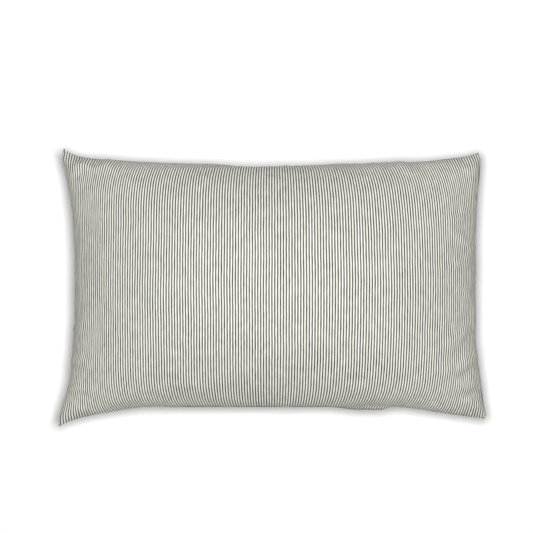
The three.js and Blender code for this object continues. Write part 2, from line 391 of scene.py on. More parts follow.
# evens out folds that are only a cell wide
def evened(skin, passes):
    across, up = coverCut["cellsAcross"], coverCut["cellsUp"]
    for _ in range(passes):
        before = dict(skin)
        for (column, row, side), co in before.items():
            if 0 < column < across and 0 < row < up:
                around = before[column - 1, row, side] + before[column + 1, row, side]
                around += before[column, row - 1, side] + before[column, row + 1, side]
                skin[column, row, side] = co * 0.5 + around * 0.125
    return skin


zipLine = {
    "length": 0.50,  # share of the bottom edge that lies straight
    "fadeAcross": 0.30,
    "fadeUp": 0.34,
}


# brings the bottom edge onto the zip's straight line
def alongZip(skin):
    across, up = coverCut["cellsAcross"], coverCut["cellsUp"]
    for column in range(across + 1):
        s = abs(2 * column / across - 1)
        share = 1 - grade(s, zipLine["length"], zipLine["length"] + zipLine["fadeAcross"])
        offset = share * (zipEdge - skin[column, 0, 1].y)
        for row in range(up):
            fade = 1 - grade(2 * row / up, 0.03, zipLine["fadeUp"])
            for side in (1, -1):
                skin[column, row, side].y += offset * fade
    return skin


restHeight = 1.2 * mm  # how far above the floor the underside stays


# brings the underside down to its rest height
def settled(skin):
    lowest = min(point.z for point in skin.values())
    drop = (seamHeight - restHeight) / (seamHeight - lowest)
    for point in skin.values():
        if point.z < seamHeight:
            point.z = seamHeight - (seamHeight - point.z) * drop
    return skin


skin = settled(alongZip(evened(skin, 2)))


def spline(a, b, c, d, part):
    return (
        b
        + (c - a) * (0.5 * part)
        + (a * 2 - b * 5 + c * 4 - d) * (0.5 * part * part)
        + (b * 3 - a - c * 3 + d) * (0.5 * part**3)
    )


def skinPoint(column, row, side):
    across, up = coverCut["cellsAcross"], coverCut["cellsUp"]
    if 0 <= column <= across and 0 <= row <= up:
        return skin[column, row, side]
    nearColumn, nearRow = min(across, max(0, column)), min(up, max(0, row))
    edge = skin[nearColumn, nearRow, side]
    inner = skin[2 * nearColumn - column, 2 * nearRow - row, side]
    return edge * 2 - inner


# a smooth point of the stuffed cover, for any place on its flat cloth
def skinAt(s, t, side):
    across, up = coverCut["cellsAcross"], coverCut["cellsUp"]
    column, row = (s + 1) / 2 * across, (t + 1) / 2 * up
    i, j = min(across - 1, max(0, int(column))), min(up - 1, max(0, int(row)))
    lines = []
    for di in (-1, 0, 1, 2):
        lines.append(spline(*[skinPoint(i + di, j + dj, side) for dj in (-1, 0, 1, 2)], row - j))
    return spline(*lines, column - i)


# a point inside the pillow: half way between the panels, then out to its own share of the way
def innerAt(s, t, side, share):
    front, back = skinAt(s, t, 1), skinAt(s, t, -1)
    middle = (front + back) / 2
    return middle + ((front if side > 0 else back) - middle) * share


# closer cells towards the edges
def spread(place, density):
    return place + density * math.sin(math.pi * place) / math.pi


# a grid laid on one side of the pillow by a rule from (s, t) to a point; its UV map is the flat cloth
def laidGrid(name, cellsAcross, cellsUp, density, side, rule):
    bpy.ops.object.select_all(action="DESELECT")
    bpy.ops.mesh.primitive_grid_add(x_subdivisions=cellsAcross, y_subdivisions=cellsUp, size=2)
    panel = renamed(bpy.context.object, name)
    if side < 0:
        bpy.ops.object.mode_set(mode="EDIT")
        bpy.ops.mesh.flip_normals()
        bpy.ops.object.mode_set(mode="OBJECT")
    places = panel.data.attributes.new("cut", "FLOAT_VECTOR", "POINT")
    for vertex, place in zip(panel.data.vertices, places.data):
        place.vector = (spread(vertex.co.x, density), spread(vertex.co.y, density), 0)
        vertex.co = rule(place.vector[0], place.vector[1], side)
    panel.data.update()
    return panel


def clothMap(panel, shift=0):
    places = [place.vector.copy() for place in panel.data.attributes["cut"].data]
    layer = panel.data.uv_layers[0]
    layer.name = "cloth"
    for loop, uv in zip(panel.data.loops, layer.data):
        s, t, _ = places[loop.vertex_index]
        uv.uv = ((s + 1) / 2 + shift, (t + 1) / 2)


coverPanel = {
    "cellsAcross": 204,
    "cellsUp": 136,
    "density": 0.62,
    "cloth": 0.9 * mm,
    "allowance": 8 * mm,
    "fold": 2.4 * mm,  # from the folded edge to the cloth turned in behind it
    "lipGap": 0.06 * mm,  # from the seam's plane to each folded edge
    "zipGap": 1.15 * mm,  # the same, where the edges are open along the zip
    "groove": 0.7 * mm,
    "grooveWidth": 2.0 * mm,
    "pucker": 0.9 * mm,
    "crumple": 0.8 * mm,
    "foldHeight": 1.7,  # what the folds' heights and widths below are multiplied by
    "foldWidth": 1.5,
    "trimFrom": 16 * mm,  # the allowance is cut down from here to the corner's tip
    "trimTo": 44 * mm,
    "trimLeast": 0.06,
    "zipOpen": (0.52, 0.55),  # where the open edges close up again, along the bottom
    "hemEnd": (0.54, 0.58),
    "hemGap": 0.1 * mm,
    "stripeShift": {1: 0.0, -1: 0.0021},  # the back panel's stripes don't meet the front's
}

# soft folds: where each starts and ends on the flat cloth, its width and height in millimetres
frontFolds = [
    ((-0.99, 0.93), (-0.80, 0.86), 5, 1.6),
    ((-0.97, 0.80), (-0.88, 0.97), 5, 1.2),
    ((-0.80, 0.99), (-0.77, 0.86), 7, 1.6),
    ((0.60, 0.99), (0.64, 0.84), 8, 1.3),
    ((0.99, 0.92), (0.84, 0.82), 6, 1.5),
    ((0.90, 0.55), (0.78, 0.44), 4, 1.3),
    ((0.80, 0.38), (0.92, 0.30), 4, 1.4),
    ((0.90, 0.20), (0.76, 0.12), 4, 1.2),
    ((0.80, 0.02), (0.91, -0.06), 4, 1.2),
    ((0.93, -0.30), (0.76, -0.40), 5, 1.5),
    ((0.98, -0.52), (0.74, -0.60), 6, 1.8),
    ((0.98, -0.76), (0.80, -0.70), 5, 1.4),
    ((0.99, -0.94), (0.86, -0.84), 5, 1.3),
    ((-0.98, -0.34), (-0.84, -0.26), 5, 1.5),
    ((-0.99, -0.58), (-0.80, -0.50), 6, 1.6),
    ((-0.98, -0.80), (-0.84, -0.72), 5, 1.4),
    ((-0.99, -0.97), (-0.86, -0.86), 5, 1.2),
    ((0.26, 0.42), (0.34, 0.08), 7, 0.7),
    ((0.38, 0.36), (0.42, 0.10), 6, 0.6),
]
backFolds = [
    ((-0.99, 0.90), (-0.74, 0.76), 7, 1.6),
    ((0.99, 0.92), (0.76, 0.74), 7, 1.6),
    ((0.99, -0.92), (0.78, -0.78), 6, 1.5),
    ((-0.99, -0.95), (-0.78, -0.80), 6, 1.5),
    ((0.99, 0.30), (0.80, 0.22), 6, 1.3),
    ((-0.99, -0.20), (-0.82, -0.14), 6, 1.3),
]


foldShape = {
    "bend": 0.8,  # how far the ridge wanders, as a share of its width
    "bendScale": 9,
    "bendWaves": 3,
    "dip": 0.3,
    "dipAt": 1.9,
    "taperFrom": 0.12,
    "taperOver": 0.80,
    "nearAcross": 0.2,  # past these shares of the cloth a fold has no effect
    "nearUp": 0.3,
}
reliefFade = {  # how the relief fades in, by distance from the seam and from the tips
    "grooveTips": (10 * mm, 50 * mm),
    "puckerReach": 16 * mm,
    "puckerSeam": 3 * mm,
    "puckerTips": (5 * mm, 40 * mm),
    "puckerSide": 0.2,  # waves of the pucker along a short side, and along a long one
    "puckerLong": 0.3,
    "crumpleSeam": 12 * mm,
    "crumpleWaves": (11, 8),
    "fineShare": 0.4,
    "fineWaves": (30, 22),
    "foldSeam": 2 * mm,
}


# how far a fold lifts the cloth, from -0.3 in the dips beside it to 1 on its ridge
def foldLift(s, t, start, end, width):
    fold = foldShape
    width *= coverPanel["foldWidth"]
    halfAcross, halfUp = coverCut["width"] / 2 / mm, coverCut["height"] / 2 / mm
    foot = Vector((start[0] * halfAcross, start[1] * halfUp))
    along = Vector((end[0] * halfAcross, end[1] * halfUp)) - foot
    here = Vector((s * halfAcross, t * halfUp)) - foot
    share = min(1, max(0, here.dot(along) / along.length_squared))
    wander = wobble(share * fold["bendWaves"], start[0] * fold["bendScale"], start[1] * fold["bendScale"])
    bend = wander * width * fold["bend"]
    away = (here - along * share).length
    sideways = here.x * along.y - here.y * along.x
    away = abs(math.copysign(away, sideways) - bend) / width
    taper = math.sin(math.pi * (fold["taperFrom"] + fold["taperOver"] * share))
    return taper * (math.exp(-away * away) - fold["dip"] * math.exp(-((away - fold["dipAt"]) ** 2)))


# whether a fold is close enough to lift this place
def foldNear(s, t, start, end):
    across = min(abs(s - start[0]), abs(s - end[0]))
    up = min(abs(t - start[1]), abs(t - end[1]))
    return across < foldShape["nearAcross"] and up < foldShape["nearUp"]


# how far the finished cloth stands off the simulated skin
def clothRelief(s, t, side):
    cut = coverPanel
    sideways = (1 - abs(s)) * coverCut["width"] / 2
    upwards = (1 - abs(t)) * coverCut["height"] / 2
    toSeam, toTip = min(sideways, upwards), max(sideways, upwards)
    along = t * reliefFade["puckerSide"] / mm if sideways < upwards else s * reliefFade["puckerLong"] / mm
    groove = math.exp(-((toSeam / cut["grooveWidth"]) ** 2)) * grade(toTip, *reliefFade["grooveTips"])
    lift = -cut["groove"] * groove
    nearSeam = math.exp(-toSeam / reliefFade["puckerReach"]) * grade(toSeam, 0, reliefFade["puckerSeam"])
    nearSeam *= grade(toTip, *reliefFade["puckerTips"])
    pucker = wobble(along / 6, toSeam / mm / 22, side * 5) + wobble(along / 14, 4, side) * 1.4
    lift += cut["pucker"] * nearSeam * pucker
    across, up = reliefFade["crumpleWaves"]
    crumple = grade(toSeam, 0, reliefFade["crumpleSeam"]) * wobble(s * across, t * up, side * 3)
    across, up = reliefFade["fineWaves"]
    crumple += reliefFade["fineShare"] * wobble(s * across, t * up, side * 3)
    lift += cut["crumple"] * crumple
    inFromSeam = grade(toSeam, 0, reliefFade["foldSeam"])
    for start, end, width, height in frontFolds if side > 0 else backFolds:
        if foldNear(s, t, start, end):
            lift += height * mm * cut["foldHeight"] * foldLift(s, t, start, end, width) * inFromSeam
    return lift


# the way into the pillow from a place on its seam, seen from above
def inward(s, t):
    step = 0.004
    if abs(t) > coverCut["onSeam"]:
        along = skinAt(min(1, s + step), t, 1) - skinAt(max(-1, s - step), t, 1)
    else:
        along = skinAt(s, min(1, t + step), 1) - skinAt(s, max(-1, t - step), 1)
    across = Vector((-along.y, along.x, 0)).normalized()
    return -across if across.dot(skinAt(s, t, 1)) > 0 else across


# a point between the panels, this far in from the seam; the corners are trimmed
def betweenPanels(s, t, inset, height=0):
    cut = coverPanel
    sideLength = coverCut["width"] if abs(t) > coverCut["onSeam"] else coverCut["height"]
    toCorner = (1 - min(abs(s), abs(t))) * sideLength / 2
    trim = cut["trimLeast"] + (1 - cut["trimLeast"]) * grade(toCorner, cut["trimFrom"], cut["trimTo"])
    return skinAt(s, t, 1) + inward(s, t) * inset * trim + Vector((0, 0, height * min(1, trim * 2)))


# the turned-in allowance: level along the sewn seam, folded back up the panel along the zip
def allowancePlace(s, t, side, turn):
    cut = coverPanel
    inset = cut["fold"] if turn == 0 else cut["allowance"]
    level = betweenPanels(s, t, inset, side * cut["lipGap"])
    share = (1 - grade(abs(s), *cut["hemEnd"])) if t < -0.99 else 0
    if share == 0:
        return level
    upright = skinAt(s, t, side) + Vector((0, cut["fold"], side * (cut["zipGap"] + cut["hemGap"])))
    if turn == 1:
        upright = skinAt(s, t * (1 - 2 * cut["allowance"] / coverCut["height"]), side)
        upright.y = max(upright.y, zipEdge) + cut["fold"] * 1.3
    return level.lerp(upright, share)


lip = {
    "from": 118 * mm,  # where the front panel stands out over the closed zip's pull tab
    "to": 150 * mm,
    "fade": 42 * mm,
    "fadeRight": 15 * mm,
    "out": 3.6 * mm,
    "up": 2.3 * mm,
    "depth": 0.075,  # how far up the panel it fades out, as a share of its height
}


# how far the front panel's edge stands out over the pull tab
def lipShift(s, t, side, x):
    opening = grade(x, lip["from"] - lip["fade"], lip["from"])
    closing = grade(x, lip["to"], lip["to"] + lip["fadeRight"])
    share = opening * (1 - closing) * (1 - grade(t + 1, 0, lip["depth"])) if side > 0 else 0
    return Vector((0, -lip["out"] * share, lip["up"] * share))


# one panel: its folds and puckers, then the allowance turned in all round it in two turns
def sewnPanel(name, side):
    cut = coverPanel
    panel = laidGrid(name, cut["cellsAcross"], cut["cellsUp"], cut["density"], side, skinAt)
    places = [place.vector.copy() for place in panel.data.attributes["cut"].data]
    normals = [vertex.normal.copy() for vertex in panel.data.vertices]
    for vertex, normal, (s, t, _) in zip(panel.data.vertices, normals, places):
        if max(abs(s), abs(t)) > coverCut["onSeam"]:
            opened = (1 - grade(abs(s), *cut["zipOpen"])) if t < -0.99 else 0
            gap = cut["lipGap"] + (cut["zipGap"] - cut["lipGap"]) * opened
            vertex.co.z += side * gap
        else:
            vertex.co += normal * clothRelief(s, t, side)
        vertex.co += lipShift(s, t, side, vertex.co.x)
        vertex.co.z = max(vertex.co.z, restHeight)
    for turn, beyond in enumerate((cut["fold"], cut["allowance"])):
        only(panel)
        bpy.ops.object.mode_set(mode="EDIT")
        bpy.ops.mesh.select_mode(type="EDGE")
        if turn == 0:
            bpy.ops.mesh.select_all(action="DESELECT")
            bpy.ops.mesh.select_non_manifold()
        bpy.ops.mesh.extrude_edges_move()
        bpy.ops.object.mode_set(mode="OBJECT")
        for vertex, place in zip(panel.data.vertices, panel.data.attributes["cut"].data):
            if vertex.select:
                s, t = [max(-1, min(1, at)) for at in place.vector[:2]]
                behind = t * (1 - 2 * turn * cut["allowance"] / coverCut["height"])
                shift = lipShift(s, behind, side, skinAt(s, t, side).x)
                vertex.co = allowancePlace(s, t, side, turn) + shift
                widened = 2 * beyond / coverCut["width"] if abs(s) > coverCut["onSeam"] else 0
                heightened = 2 * beyond / coverCut["height"] if abs(t) > coverCut["onSeam"] else 0
                place.vector = (s * (1 + widened), t * (1 + heightened), 0)
    clothMap(panel, cut["stripeShift"][side])
    wall = panel.modifiers.new("Solidify", "SOLIDIFY")
    wall.thickness = cut["cloth"]
    wall.offset = -1
    applyAll(panel)
    return smoothShaded(panel)


linen = {
    "stripes": 168,  # across the width of the cut
    "ivory": (0.775, 0.77, 0.685, 1),
    "ivoryShade": (0.68, 0.67, 0.56, 1),
    "slate": (0.036, 0.037, 0.051, 1),
    "slateShade": (0.125, 0.126, 0.145, 1),
    "bleached": (0.60, 0.60, 0.57, 1),
    "yarnsPerStripe": 4,
    "pickCount": 260,  # weft yarns up the height of the cut
    "slub": 0.14,
}


def linenFinish():
    finish = Finish("striped linen")
    cloth = finish.place("cloth")
    across, up, _ = finish.axes(cloth)
    slubs = finish.cloud(cloth, 1, 3, (300, 26, 1))
    drift = finish.cloud(cloth, 1, 2, (7, 9, 1))
    turns = across * linen["stripes"] + (slubs - 0.5) * linen["slub"] + (drift - 0.5) * 0.3
    light = (turns.wave() * 2.4 + 0.40 + (slubs - 0.5) * 1.3).held()
    tone = finish.cloud(cloth, 1, 4, (170, 34, 1))
    toned = (tone * 2.2 - 0.6).held()
    ivory = finish.mixed(toned, linen["ivoryShade"], linen["ivory"])
    slate = finish.mixed(toned, linen["slate"], linen["slateShade"])
    patch = finish.cloud(cloth, 1, 3, (16, 11, 1))
    striped = finish.mixed(light, slate, ivory)
    worn = finish.mixed((patch * 0.9 - 0.3).held() * 0.3, striped, linen["bleached"])
    warp = (turns * linen["yarnsPerStripe"]).wave()
    weft = (up * linen["pickCount"]).wave()
    weave = finish.bump(warp * weft * 0.4 + tone * 1.2, 0.35, 0.4 * mm)
    crumple = finish.cloud(cloth, 1, 5, (46, 30, 1))
    relief = finish.bump(crumple, 0.30, 2.4 * mm, weave)
    return finish.shade(
        Base_Color=worn,
        Roughness=0.86 + (tone - 0.5) * 0.16,
        Sheen_Weight=0.10,
        Sheen_Roughness=0.5,
        Specular_IOR_Level=0.15,
        Normal=relief,
    )


linenMaterial = linenFinish()
frontPanel = handIn(sewnPanel("linen_front_panel", 1), linenMaterial, "cover_linen", "cover_front_panel")
backPanel = handIn(sewnPanel("linen_back_panel", -1), linenMaterial, "cover_linen", "cover_back_panel")


insert = {
    "cellsAcross": 96,
    "cellsUp": 64,
    "casingShare": 0.962,  # of the cover's own height
    "casingInset": 13.5 * mm,  # its seam, in from the cover's
    "casingCloth": 0.5 * mm,
    "casingGap": 0.35 * mm,  # from the seam's plane to each half's edge
    "density": 0.4,
    "fillingShare": 0.935,
    "fillingInset": 18 * mm,
    "fillingLumps": 1.4 * mm,
    "lumpScale": (26, 80),
    "lumpsFrom": 20 * mm,
}


# the layer's own crown over the cover's at the same place, so that it thins to nothing at its own seam
def layerPoint(s, t, side, inset, share):
    insideS = s * (1 - 2 * inset / coverCut["width"])
    insideT = t * (1 - 2 * inset / coverCut["height"])
    rise = crownHeight - seamHeight
    ratio = 1
    for place, inside, half in ((s, insideS, halfWidth), (t, insideT, halfHeight)):
        own = 1 - archPlace(place, rise / half) ** 2
        cover = 1 - archPlace(inside, rise / half) ** 2
        ratio *= math.sqrt(max(0, own) / max(1e-6, cover))
    return innerAt(insideS, insideT, side, share * min(1, ratio))


def casingHalf(name, side):
    def rule(s, t, side):
        point = layerPoint(s, t, side, insert["casingInset"], insert["casingShare"])
        if max(abs(s), abs(t)) > coverCut["onSeam"]:
            point.z += side * insert["casingGap"]
        return point

    half = laidGrid(name, insert["cellsAcross"], insert["cellsUp"], insert["density"], side, rule)
    clothMap(half)
    rounder = half.modifiers.new("Subdivision", "SUBSURF")
    rounder.levels = rounder.render_levels = 1
    wall = half.modifiers.new("Solidify", "SOLIDIFY")
    wall.thickness = insert["casingCloth"]
    wall.offset = -1
    applyAll(half)
    return smoothShaded(half)


cotton = {
    "white": (0.83, 0.82, 0.78, 1),
    "shade": (0.74, 0.73, 0.69, 1),
    "yarnsAcross": 420,
    "yarnsUp": 280,
}


def cottonFinish():
    finish = Finish("white cotton")
    cloth = finish.place("cloth")
    across, up, _ = finish.axes(cloth)
    tone = finish.cloud(cloth, 1, 4, (60, 40, 1))
    slubs = finish.cloud(cloth, 1, 3, (24, 260, 1))
    weave = (across * cotton["yarnsAcross"]).wave() * (up * cotton["yarnsUp"]).wave()
    relief = finish.bump(weave * 0.4 + slubs, 0.25, 0.3 * mm)
    crease = finish.bump(finish.cloud(cloth, 1, 4, (22, 15, 1)), 0.35, 4 * mm, relief)
    colour = finish.mixed((tone * 0.7 + slubs * 0.5 - 0.1).held(), cotton["shade"], cotton["white"])
    return finish.shade(
        Base_Color=colour,
        Roughness=0.84 + (slubs - 0.5) * 0.12,
        Sheen_Weight=0.1,
        Specular_IOR_Level=0.2,
        Normal=crease,
    )


cottonMaterial = cottonFinish()
casingFront = handIn(casingHalf("casing_front", 1), cottonMaterial, "insert_cotton", "insert_casing_front")
casingBack = handIn(casingHalf("casing_back", -1), cottonMaterial, "insert_cotton", "insert_casing_back")


# two lumpy halves joined into one closed pad
def fillingPad():
    def rule(s, t, side):
        point = layerPoint(s, t, side, insert["fillingInset"], insert["fillingShare"])
        if max(abs(s), abs(t)) < coverCut["onSeam"]:
            coarse, fine = insert["lumpScale"]
            lump = wobble(point.x * coarse, point.y * coarse, side * 2)
            lump += 0.4 * wobble(point.x * fine, point.y * fine, side)
            depth = grade(abs(point.z - seamHeight), 0, insert["lumpsFrom"])
            point.z += insert["fillingLumps"] * depth * (lump - 0.6) * side
        return point

    across, up = insert["cellsAcross"] * 2, insert["cellsUp"] * 2
    halves = [laidGrid("filling", across, up, insert["density"], side, rule) for side in (1, -1)]
    only(*halves)
    bpy.ops.object.join()
    bpy.ops.object.mode_set(mode="EDIT")
    bpy.ops.mesh.select_all(action="SELECT")
    bpy.ops.mesh.remove_doubles(threshold=0.01 * mm)
    bpy.ops.object.mode_set(mode="OBJECT")
    return smoothShaded(renamed(bpy.context.object, "filling_pad"))


fibre = {
    "light": (0.93, 0.93, 0.92, 1),
    "shade": (0.80, 0.80, 0.78, 1),
}


def fibreFinish():
    finish = Finish("spun fibre")
    place = finish.place()
    strands = finish.cloud(place, 1, 5, (900, 240, 240))
    tangle = finish.cloud(place, 190, 6)
    clumps = finish.cloud(place, 34, 3)
    relief = finish.bump(strands * 0.6 + tangle, 0.7, 1.6 * mm)
    soft = finish.bump(clumps, 0.5, 6 * mm, relief)
    colour = finish.mixed((tangle * 1.4 - 0.2).held(), fibre["shade"], fibre["light"])
    return finish.shade(
        Base_Color=colour,
        Roughness=0.9 + (tangle - 0.5) * 0.1,
        Sheen_Weight=0.3,
        Sheen_Roughness=0.6,
        Specular_IOR_Level=0.1,
        Normal=soft,
    )


filling = handIn(fillingPad(), fibreFinish(), "filling", "insert_filling")


# a round thread along points, made from a curve
def thread(name, points, radius):
    bpy.ops.object.select_all(action="DESELECT")
    bpy.ops.curve.primitive_bezier_curve_add()
    strand = bpy.context.object
    strand.data.splines.clear()
    strand.data.dimensions = "3D"
    run = strand.data.splines.new("POLY")
    run.points.add(len(points) - 1)
    for at, point in zip(run.points, points):
        at.co = (*point, 1)
    strand.data.bevel_depth = radius
    strand.data.bevel_resolution = 0
    strand.data.use_fill_caps = True
    bpy.ops.object.convert(target="MESH")
    return smoothShaded(renamed(bpy.context.object, name))


runEnd = 0.985  # how near a corner the sewing starts or ends, as a share of the flat cloth
zipEnd = 0.56  # how far from the middle the sewn part of the bottom starts
seamSides = {  # the runs of the sewn seam, anticlockwise; the zip lies between the last and the first
    "bottom_right": ((zipEnd, -1), (runEnd, -1)),
    "right": ((1, -runEnd), (1, runEnd)),
    "top": ((runEnd, 1), (-runEnd, 1)),
    "left": ((-1, runEnd), (-1, -runEnd)),
    "bottom_left": ((-runEnd, -1), (-zipEnd, -1)),
}
casingSides = (
    ((-runEnd, -1), (runEnd, -1)),
    seamSides["right"],
    seamSides["top"],
    seamSides["left"],
)
sewing = {
    "stitch": 2.6 * mm,
    "seamInset": 3.0 * mm,
    "seamHeight": 1.05 * mm,
    "seamRadius": 0.16 * mm,
    "overlockPitch": 2.6 * mm,
    "overlockInset": 5.2 * mm,
    "overlockRadius": 0.13 * mm,
    "overlockNeedle": 1.15 * mm,  # the loops' height at the needle line, and near the raw edge
    "overlockEdge": 1.25 * mm,
    "overlockBeyond": 0.5 * mm,
    "overlockShort": 0.6 * mm,
    "casingStitch": 2.8 * mm,
    "casingStitchInset": 1.2 * mm,
    "casingStitchHeight": 0.75 * mm,
    "fineRadius": 0.15 * mm,  # of the thread in the casing and the tapes
}


def stitchCount(start, end, pitch):
    across = (end[0] - start[0]) * coverCut["width"] / 2
    up = (end[1] - start[1]) * coverCut["height"] / 2
    return round(math.hypot(across, up) / pitch)


# the place that is this share of the way along a run of sewing
def alongRun(start, end, share):
    return start[0] + (end[0] - start[0]) * share, start[1] + (end[1] - start[1]) * share


# a lockstitch: the thread dips through the cloth between one stitch and the next
def lockstitch(start, end, pitch, placeAt):
    dips = (-1, 0.55, 1, 0.55)
    steps = stitchCount(start, end, pitch) * len(dips)
    return [
        placeAt(*alongRun(start, end, step / steps), dips[step % len(dips)])
        for step in range(steps + 1)
    ]


# an overlock: loops that run in from the needle line and round the raw edge of both layers
def overlock(start, end):
    sew = sewing
    short = coverPanel["allowance"] - sew["overlockShort"]
    beyond = coverPanel["allowance"] + sew["overlockBeyond"]
    loop = (
        (sew["overlockInset"], sew["overlockNeedle"]),
        (short, sew["overlockEdge"]),
        (beyond, 0),
        (short, -sew["overlockEdge"]),
        (sew["overlockInset"], -sew["overlockNeedle"]),
        (beyond, 0.1 * mm),
    )
    count = stitchCount(start, end, sew["overlockPitch"])
    points = []
    for step in range(count * len(loop)):
        s, t = alongRun(start, end, step / (count * len(loop)))
        points.append(betweenPanels(s, t, *loop[step % len(loop)]))
    return points


threadLook = {
    "light": (0.80, 0.79, 0.72, 1),
    "shade": (0.60, 0.59, 0.53, 1),
    "roughness": 0.72,
    "plyTurns": 1400,
    "plyRise": 900,
}


def threadFinish():
    finish = Finish("sewing thread")
    place = finish.place()
    x, y, z = finish.axes(place)
    ply = ((x + y) * threadLook["plyTurns"] + z * threadLook["plyRise"]).wave()
    fuzz = finish.cloud(place, 2600, 3)
    tint = finish.cloud(place, 60, 3)
    relief = finish.bump(ply * 0.5 + fuzz, 0.4, 0.06 * mm)
    colour = finish.mixed((ply * 0.25 + tint * 0.8).held(), threadLook["shade"], threadLook["light"])
    return finish.shade(
        Base_Color=colour,
        Roughness=threadLook["roughness"] + (fuzz - 0.5) * 0.2,
        Specular_IOR_Level=0.3,
        Normal=relief,
    )


threadMaterial = threadFinish()


def seamStitchPlace(s, t, dip):
    return betweenPanels(s, t, sewing["seamInset"], sewing["seamHeight"] * dip)


for sideName, (start, end) in seamSides.items():
    points = lockstitch(start, end, sewing["stitch"], seamStitchPlace)
    stitches = thread("stitching_" + sideName, points, sewing["seamRadius"])
    handIn(stitches, threadMaterial, "thread", "seam_thread_" + sideName)
    loops = thread("overlocking_" + sideName, overlock(start, end), sewing["overlockRadius"])
    handIn(loops, threadMaterial, "thread", "overlock_thread_" + sideName)


def casingStitchPlace(s, t, dip):
    point = layerPoint(s, t, 1, insert["casingInset"], insert["casingShare"])
    point.z += sewing["casingStitchHeight"] * dip
    return point + inward(s, t) * sewing["casingStitchInset"]


casingRing = []
for start, end in casingSides:
    casingRing += lockstitch(start, end, sewing["casingStitch"], casingStitchPlace)
casingStitching = thread("casing_stitching", casingRing, sewing["fineRadius"])
handIn(casingStitching, threadMaterial, "thread", "insert_seam_thread")


zipPart = {
    "tapeBevel": 0.12 * mm,
    "tapeCuts": 48,
    "tapeRows": (0.5, 1.2, 1.9, 4.0, 6.5, 9.0),  # millimetres in from the coil's edge
    "cordAt": 1.2 * mm,
    "cordWidth": 0.5 * mm,
    "cordSwell": 0.45,
    "tapeRipple": 0.12 * mm,
    "coilWire": 0.27 * mm,
    "coilPitch": 1.5 * mm,
    "coilHeight": 0.78 * mm,  # half the coil's depth, front to back
    "coilReach": 0.92 * mm,  # half its width, into the other coil
    "coilPoints": 8,
    "coilLean": 0.25,
    "coilLead": 0.45,  # how far the back coil's turns lie past the front's
    "stitch": 2.4 * mm,
    "metalBevel": 0.14 * mm,
}


# a woven tape: a thin block, closely divided, with a thicker cord along its coil edge
def zipTape(name, node, side):
    low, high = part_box(node)
    size = high - low
    bpy.ops.object.select_all(action="DESELECT")
    bpy.ops.mesh.primitive_cube_add(size=1, location=(low + high) / 2, scale=size)
    tape = renamed(bpy.context.object, name)
    bpy.ops.object.transform_apply(location=True, rotation=True, scale=True)
    bpy.ops.object.mode_set(mode="EDIT")
    bpy.ops.mesh.bevel(offset=zipPart["tapeBevel"], segments=2)
    bpy.ops.object.mode_set(mode="OBJECT")
    coilSide = low.z if side > 0 else high.z
    for step in range(1, zipPart["tapeCuts"]):
        only(tape)
        bpy.ops.object.mode_set(mode="EDIT")
        bpy.ops.mesh.select_all(action="SELECT")
        bpy.ops.mesh.bisect(plane_co=(low.x + size.x * step / zipPart["tapeCuts"], 0, 0), plane_no=(1, 0, 0))
        bpy.ops.object.mode_set(mode="OBJECT")
    only(tape)
    bpy.ops.object.mode_set(mode="EDIT")
    for offset in zipPart["tapeRows"]:
        bpy.ops.mesh.select_all(action="SELECT")
        bpy.ops.mesh.bisect(plane_co=(0, 0, coilSide + side * offset * mm), plane_no=(0, 0, 1))
    bpy.ops.object.mode_set(mode="OBJECT")
    middle = (low.y + high.y) / 2
    for vertex in tape.data.vertices:
        away = abs(vertex.co.z - coilSide)
        cord = (away - zipPart["cordAt"]) / zipPart["cordWidth"]
        swell = 1 + zipPart["cordSwell"] * math.exp(-(cord**2))
        ripple = wobble(vertex.co.x * 60, away * 90, side) * grade(away, 2 * mm, 6 * mm)
        vertex.co.y = middle + (vertex.co.y - middle) * swell + zipPart["tapeRipple"] * ripple
    return smoothShaded(tape)


# a coil: flattened turns of nylon wire, whose heads reach in between those of the other coil
def zipCoil(name, node, side):
    low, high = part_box(node)
    centre = (low + high) / 2
    turns = int((high.x - low.x - 2 * zipPart["coilWire"]) / zipPart["coilPitch"])
    points = []
    count = zipPart["coilPoints"]
    lead = 0 if side > 0 else zipPart["coilLead"]
    for step in range(turns * count):
        turn = step / count
        angle = 2 * math.pi * turn
        reach = math.cos(angle)
        lean = zipPart["coilLean"] * (1 - reach) / 2
        x = low.x + zipPart["coilWire"] + (turn + lean + lead) * zipPart["coilPitch"] * (turns - 1) / turns
        head = -side * zipPart["coilReach"] * reach
        points.append(Vector((x, centre.y + zipPart["coilHeight"] * math.sin(angle), centre.z + head)))
    return thread(name, points, zipPart["coilWire"])


def zipStitchPlace(node):
    low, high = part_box(node)
    centre = (low + high) / 2

    def place(s, t, dip):
        return Vector((low.x + (high.x - low.x) * (s + 1) / 2, centre.y - 0.35 * mm * dip, centre.z))

    return place, (high.x - low.x) / coverCut["width"]


# a copy of a CAD part, with its edges softened
def softEdged(name, node):
    part = copyOf(bpy.data.objects[node], name)
    only(part)
    bpy.ops.object.mode_set(mode="EDIT")
    bpy.ops.mesh.select_all(action="SELECT")
    bpy.ops.mesh.remove_doubles(threshold=0.002 * mm)
    bpy.ops.mesh.dissolve_limited(angle_limit=math.radians(1))
    bpy.ops.object.mode_set(mode="OBJECT")
    bevel = part.modifiers.new("Bevel", "BEVEL")
    bevel.width = zipPart["metalBevel"]
    bevel.segments = 2
    bevel.limit_method = "ANGLE"
    bevel.angle_limit = math.radians(35)
    bevel.use_clamp_overlap = True
    applyAll(part)
    bpy.ops.object.mode_set(mode="EDIT")
    bpy.ops.mesh.select_all(action="SELECT")
    bpy.ops.mesh.quads_convert_to_tris()
    bpy.ops.object.mode_set(mode="OBJECT")
    only(part)
    bpy.ops.object.shade_smooth_by_angle(angle=math.radians(40))
    return part


